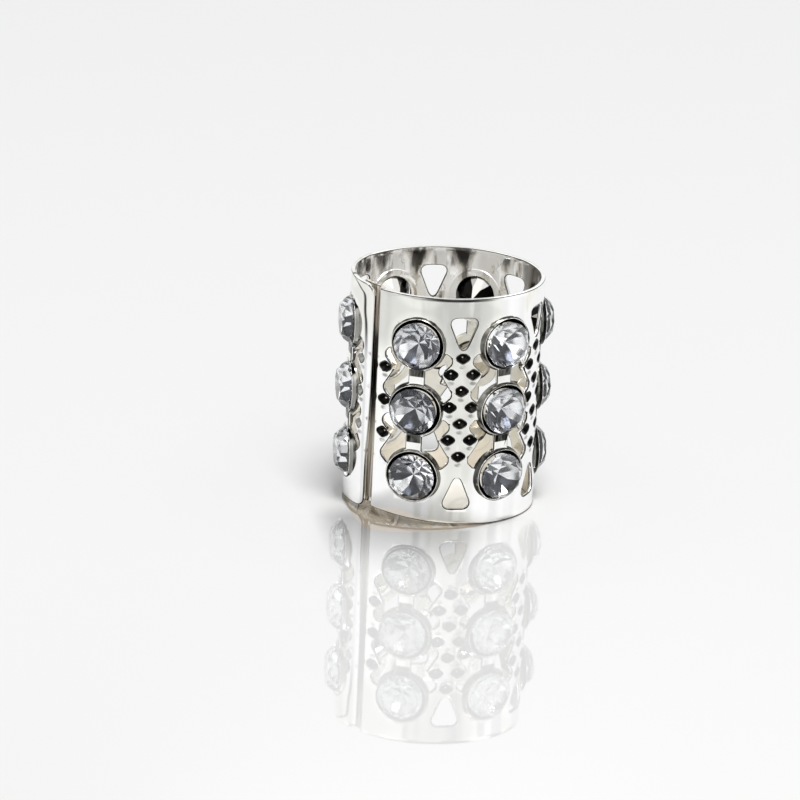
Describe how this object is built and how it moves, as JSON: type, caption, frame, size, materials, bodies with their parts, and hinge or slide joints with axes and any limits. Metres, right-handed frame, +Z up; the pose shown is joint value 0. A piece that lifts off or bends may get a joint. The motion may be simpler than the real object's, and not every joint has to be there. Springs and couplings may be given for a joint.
{
  "type": "dreadlock ring",
  "caption": "Oval hair cuff for a dreadlock, rolled from pierced sheet metal with a lap seam and set with columns of round foiled crystals.",
  "frame": {"origin": "centre of the bottom rim, on the surface that the tube stands on", "axes": "+Z up along the tube, -Y to the front, which has the lap seam at its left, +X to the right"},
  "size_m": [0.0136, 0.0112, 0.015],
  "materials": {
    "plated_metal": "mirror-bright silver-coloured plate",
    "crystal": "clear cut glass with a mirror-foiled back"
  },
  "bodies": {
    "root": {"band": "plated_metal", "crystal_a_bottom": "crystal", "crystal_a_middle": "crystal", "crystal_a_top": "crystal", "crystal_b_bottom": "crystal", "crystal_b_middle": "crystal", "crystal_b_top": "crystal", "crystal_c_bottom": "crystal", "crystal_c_middle": "crystal", "crystal_c_top": "crystal", "crystal_d_bottom": "crystal", "crystal_d_middle": "crystal", "crystal_d_top": "crystal", "crystal_e_bottom": "crystal", "crystal_e_middle": "crystal", "crystal_e_top": "crystal", "crystal_f_bottom": "crystal", "crystal_f_middle": "crystal", "crystal_f_top": "crystal"}
  },
  "joints": []
}
